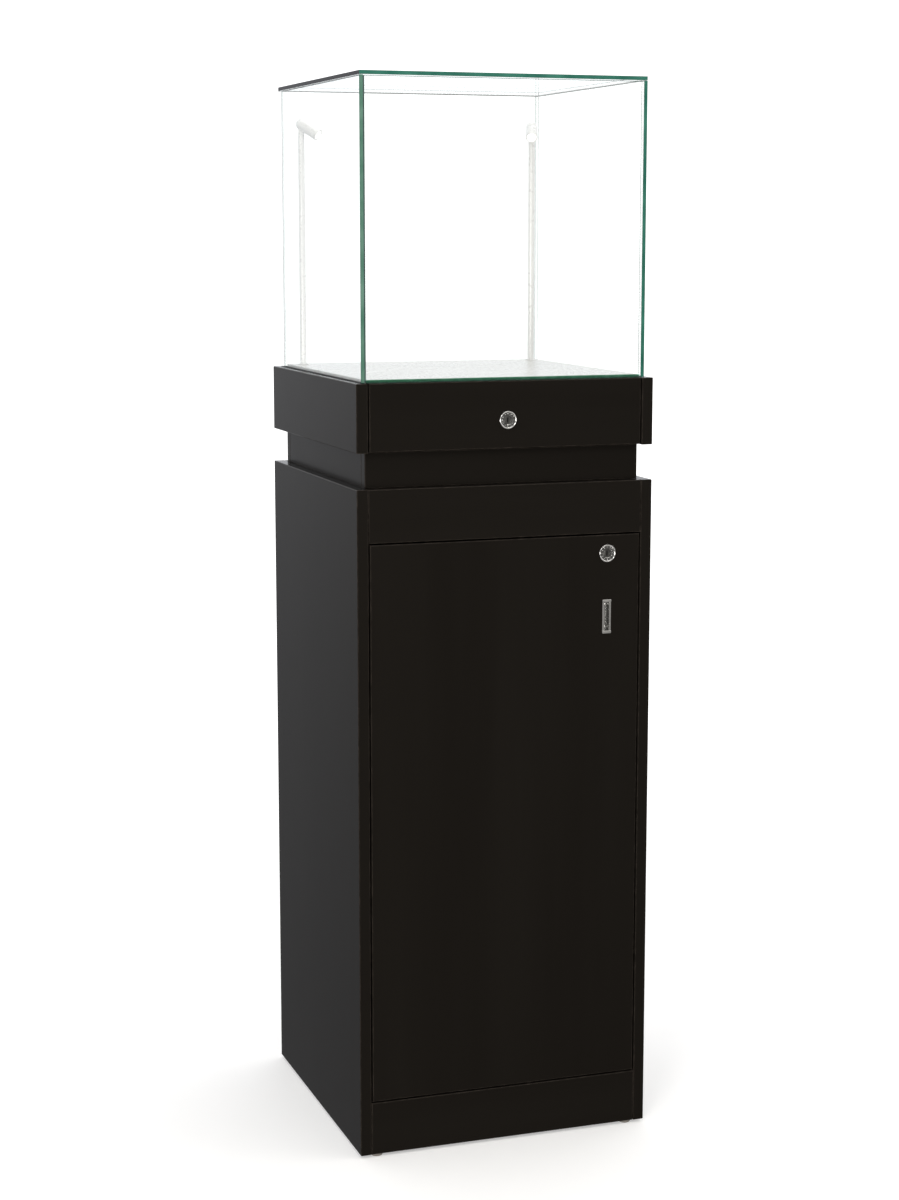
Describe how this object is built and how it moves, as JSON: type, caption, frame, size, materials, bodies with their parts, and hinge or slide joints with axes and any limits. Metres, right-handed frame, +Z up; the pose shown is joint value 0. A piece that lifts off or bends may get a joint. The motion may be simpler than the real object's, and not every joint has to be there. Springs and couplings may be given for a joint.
{
  "type": "pedestal display case",
  "caption": "Tall square display pedestal: locking cupboard, recessed neck, pull-out white deck with pole lights, and a glass hood of flat panes.",
  "frame": {"origin": "on the floor under the centre of the square body", "axes": "+Z up; the door and the deck front face -Y; +X to the right seen from the front"},
  "size_m": [0.4, 0.4042, 1.388],
  "materials": {
    "black_laminate": "near-black melamine-faced board, fine-grained satin",
    "white_laminate": "glossy white laminate",
    "float_glass": "clear float glass with green polished edges",
    "bright_chrome": "bright plated",
    "plated_steel": "zinc plated",
    "satin_silver": "satin silver",
    "grey_plastic": "moulded, slightly worn",
    "black_plastic": "moulded"
  },
  "bodies": {
    "case": {"left_side_panel": "black_laminate", "right_side_panel": "black_laminate", "back_panel": "black_laminate", "kick_board": "black_laminate", "cupboard_floor": "black_laminate", "front_rail": "black_laminate", "lower_top_panel": "black_laminate", "cupboard_shelf": "black_laminate", "shelf_pin_front_left": "plated_steel", "shelf_pin_front_right": "plated_steel", "shelf_pin_rear_left": "plated_steel", "shelf_pin_rear_right": "plated_steel", "glide_front_left": "grey_plastic", "glide_front_right": "grey_plastic", "glide_rear_left": "grey_plastic", "glide_rear_right": "grey_plastic", "neck_front_board": "black_laminate", "neck_rear_board": "black_laminate", "neck_left_board": "black_laminate", "neck_right_board": "black_laminate", "upper_left_panel": "black_laminate", "upper_right_panel": "black_laminate", "upper_rear_rail": "black_laminate", "upper_floor_panel": "black_laminate", "cable_outlet_bush": "black_plastic", "glass_left_pane": "float_glass", "glass_right_pane": "float_glass", "glass_rear_pane": "float_glass", "glass_top_pane": "float_glass", "slide_outer_left": "plated_steel", "slide_outer_right": "plated_steel", "hinge_arm_lower": "plated_steel", "hinge_arm_upper": "plated_steel"},
    "deck": {"display_deck": "white_laminate", "deck_front": "black_laminate", "glass_front_pane": "float_glass", "deck_runner_left": "black_laminate", "deck_runner_right": "black_laminate", "slide_inner_left": "plated_steel", "slide_inner_right": "plated_steel", "deck_lock_housing": "bright_chrome", "light_bush_left": "satin_silver", "light_bush_right": "satin_silver"},
    "door": {"door_panel": "black_laminate", "door_lock_housing": "bright_chrome", "flush_pull": "bright_chrome", "hinge_cup_lower": "plated_steel", "hinge_cup_upper": "plated_steel"},
    "slide_middle_left_member": {"slide_middle_left": "plated_steel"},
    "slide_middle_right_member": {"slide_middle_right": "plated_steel"},
    "deck_lock_cam": {"deck_lock_plug": "bright_chrome"},
    "door_lock_cam": {"door_lock_plug": "bright_chrome"},
    "left_light_pole": {"light_pole_left": "satin_silver"},
    "right_light_pole": {"light_pole_right": "satin_silver"},
    "left_light_head": {"light_head_left": "satin_silver"},
    "right_light_head": {"light_head_right": "satin_silver"},
    "hinge_front_links": {"hinge_front_link_lower": "plated_steel", "hinge_front_link_upper": "plated_steel"},
    "hinge_rear_links": {"hinge_rear_link_lower": "plated_steel", "hinge_rear_link_upper": "plated_steel"}
  },
  "joints": [
    {"name": "deck_slide", "type": "slide", "parent": "case", "child": "deck", "axis": [0, -1, 0], "range_m": [0, 0.3]},
    {"name": "slide_middle_left_run", "type": "slide", "parent": "case", "child": "slide_middle_left_member", "axis": [0, -1, 0], "range_m": [0, 0.15]},
    {"name": "slide_middle_right_run", "type": "slide", "parent": "case", "child": "slide_middle_right_member", "axis": [0, -1, 0], "range_m": [0, 0.15]},
    {"name": "door_hinge", "type": "hinge", "parent": "case", "child": "door", "pos_m": [-0.183, -0.2, 0.441], "axis": [0, 0, -1], "range_deg": [0, 100]},
    {"name": "hinge_front_link_turn", "type": "hinge", "parent": "case", "child": "hinge_front_links", "pos_m": [-0.1695, -0.1765, 0.441], "axis": [0, 0, -1], "range_deg": [0, 100]},
    {"name": "hinge_rear_link_turn", "type": "hinge", "parent": "door", "child": "hinge_rear_links", "pos_m": [-0.1565, -0.187, 0.441], "axis": [0, 0, -1], "range_deg": [-100, 0]},
    {"name": "deck_lock_turn", "type": "hinge", "parent": "deck", "child": "deck_lock_cam", "pos_m": [0, -0.2, 0.9585], "axis": [0, 1, 0], "range_deg": [0, 90]},
    {"name": "door_lock_turn", "type": "hinge", "parent": "door", "child": "door_lock_cam", "pos_m": [0.138, -0.2, 0.782], "axis": [0, 1, 0], "range_deg": [0, 90]},
    {"name": "left_light_pan", "type": "hinge", "parent": "deck", "child": "left_light_pole", "pos_m": [-0.168, 0.158, 1.2], "axis": [0, 0, 1], "range_deg": [-45, 60]},
    {"name": "right_light_pan", "type": "hinge", "parent": "deck", "child": "right_light_pole", "pos_m": [0.168, 0.158, 1.2], "axis": [0, 0, 1], "range_deg": [-84, 21]},
    {"name": "left_light_tilt", "type": "hinge", "parent": "left_light_pole", "child": "left_light_head", "pos_m": [-0.168, 0.158, 1.338], "axis": [0.7071, 0.7071, 0], "range_deg": [-40, 10]},
    {"name": "right_light_tilt", "type": "hinge", "parent": "right_light_pole", "child": "right_light_head", "pos_m": [0.168, 0.158, 1.338], "axis": [0.9336, -0.3584, 0], "range_deg": [-40, 10]}
  ],
  "couplings": [
    {"joint": "slide_middle_left_run", "follows": "deck_slide", "ratio": 0.5},
    {"joint": "slide_middle_right_run", "follows": "deck_slide", "ratio": 0.5},
    {"joint": "hinge_front_link_turn", "follows": "door_hinge", "ratio": 1},
    {"joint": "hinge_rear_link_turn", "follows": "door_hinge", "ratio": -1}
  ]
}
